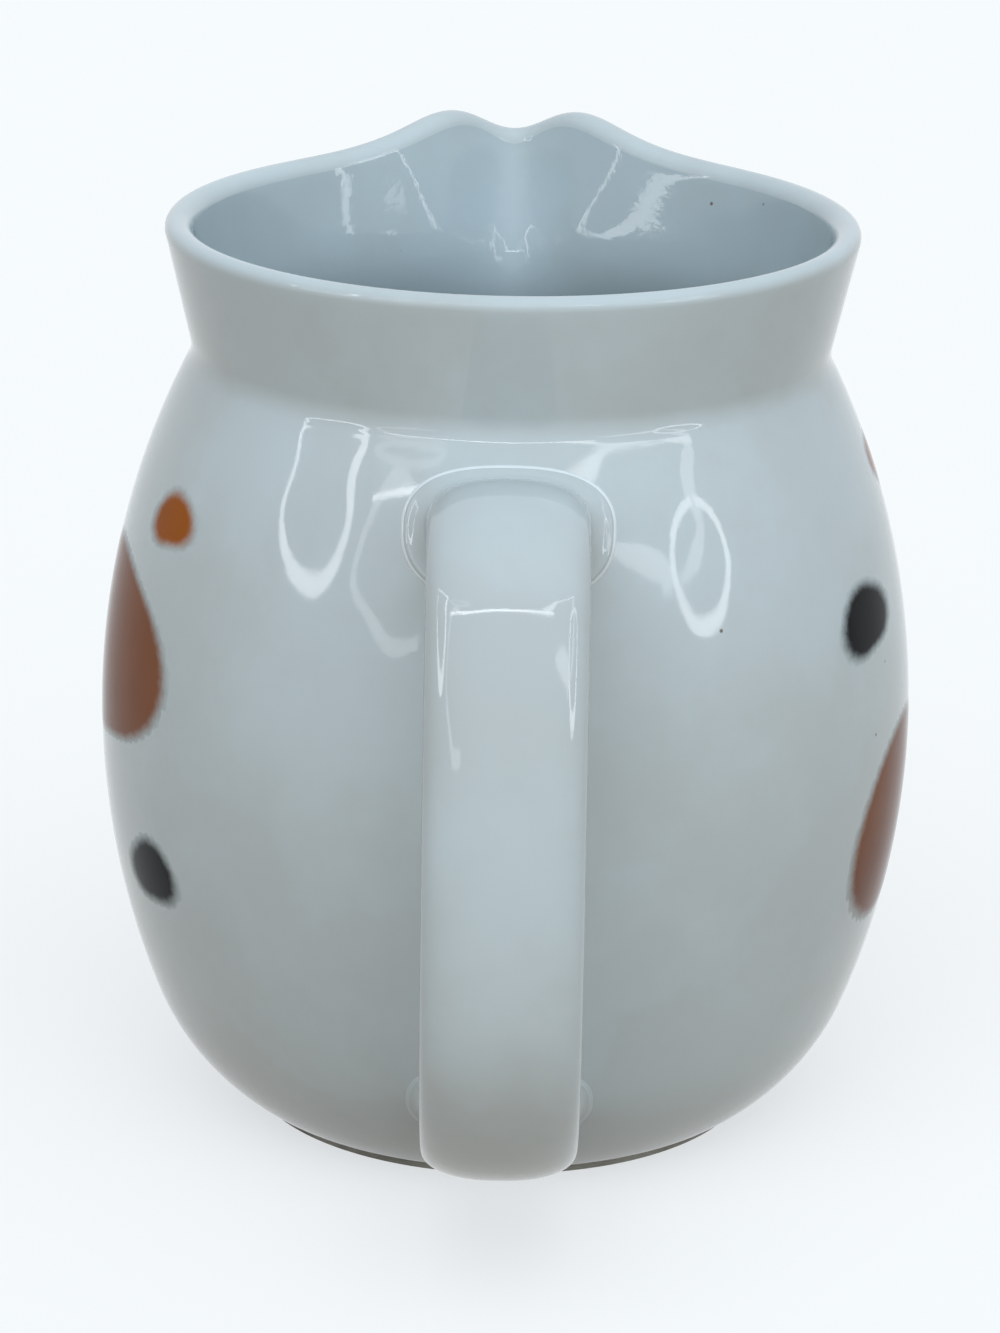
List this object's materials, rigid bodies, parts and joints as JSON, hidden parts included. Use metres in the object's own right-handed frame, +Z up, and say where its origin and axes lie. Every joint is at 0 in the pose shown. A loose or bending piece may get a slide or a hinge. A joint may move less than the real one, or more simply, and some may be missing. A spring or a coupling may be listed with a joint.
{
  "type": "cream jug",
  "caption": "Glazed porcelain cream jug with a round belly, a flared collar, a drawn pouring spout and a strap handle.",
  "frame": {"origin": "middle of the footprint of the whole jug, on the surface it stands on", "axes": "+Z up, +Y towards the pouring spout, -Y towards the handle, +X to the right seen from the handle"},
  "size_m": [0.0902, 0.1217, 0.1036],
  "materials": {
    "white_glaze": "glossy glazed porcelain",
    "glazed_slip": "glossy glazed slip",
    "terracotta_colour": "glossy fired colour",
    "black_colour": "glossy fired colour",
    "rust_colour": "glossy fired colour"
  },
  "bodies": {
    "root": {"jug_body": "white_glaze", "handle": "white_glaze", "upper_slip_joint": "glazed_slip", "lower_slip_joint": "glazed_slip", "left_terracotta_patch": "terracotta_colour", "left_black_patches": "black_colour", "left_rust_patches": "rust_colour", "right_terracotta_patch": "terracotta_colour", "right_black_patches": "black_colour", "right_rust_patches": "rust_colour"}
  },
  "joints": []
}
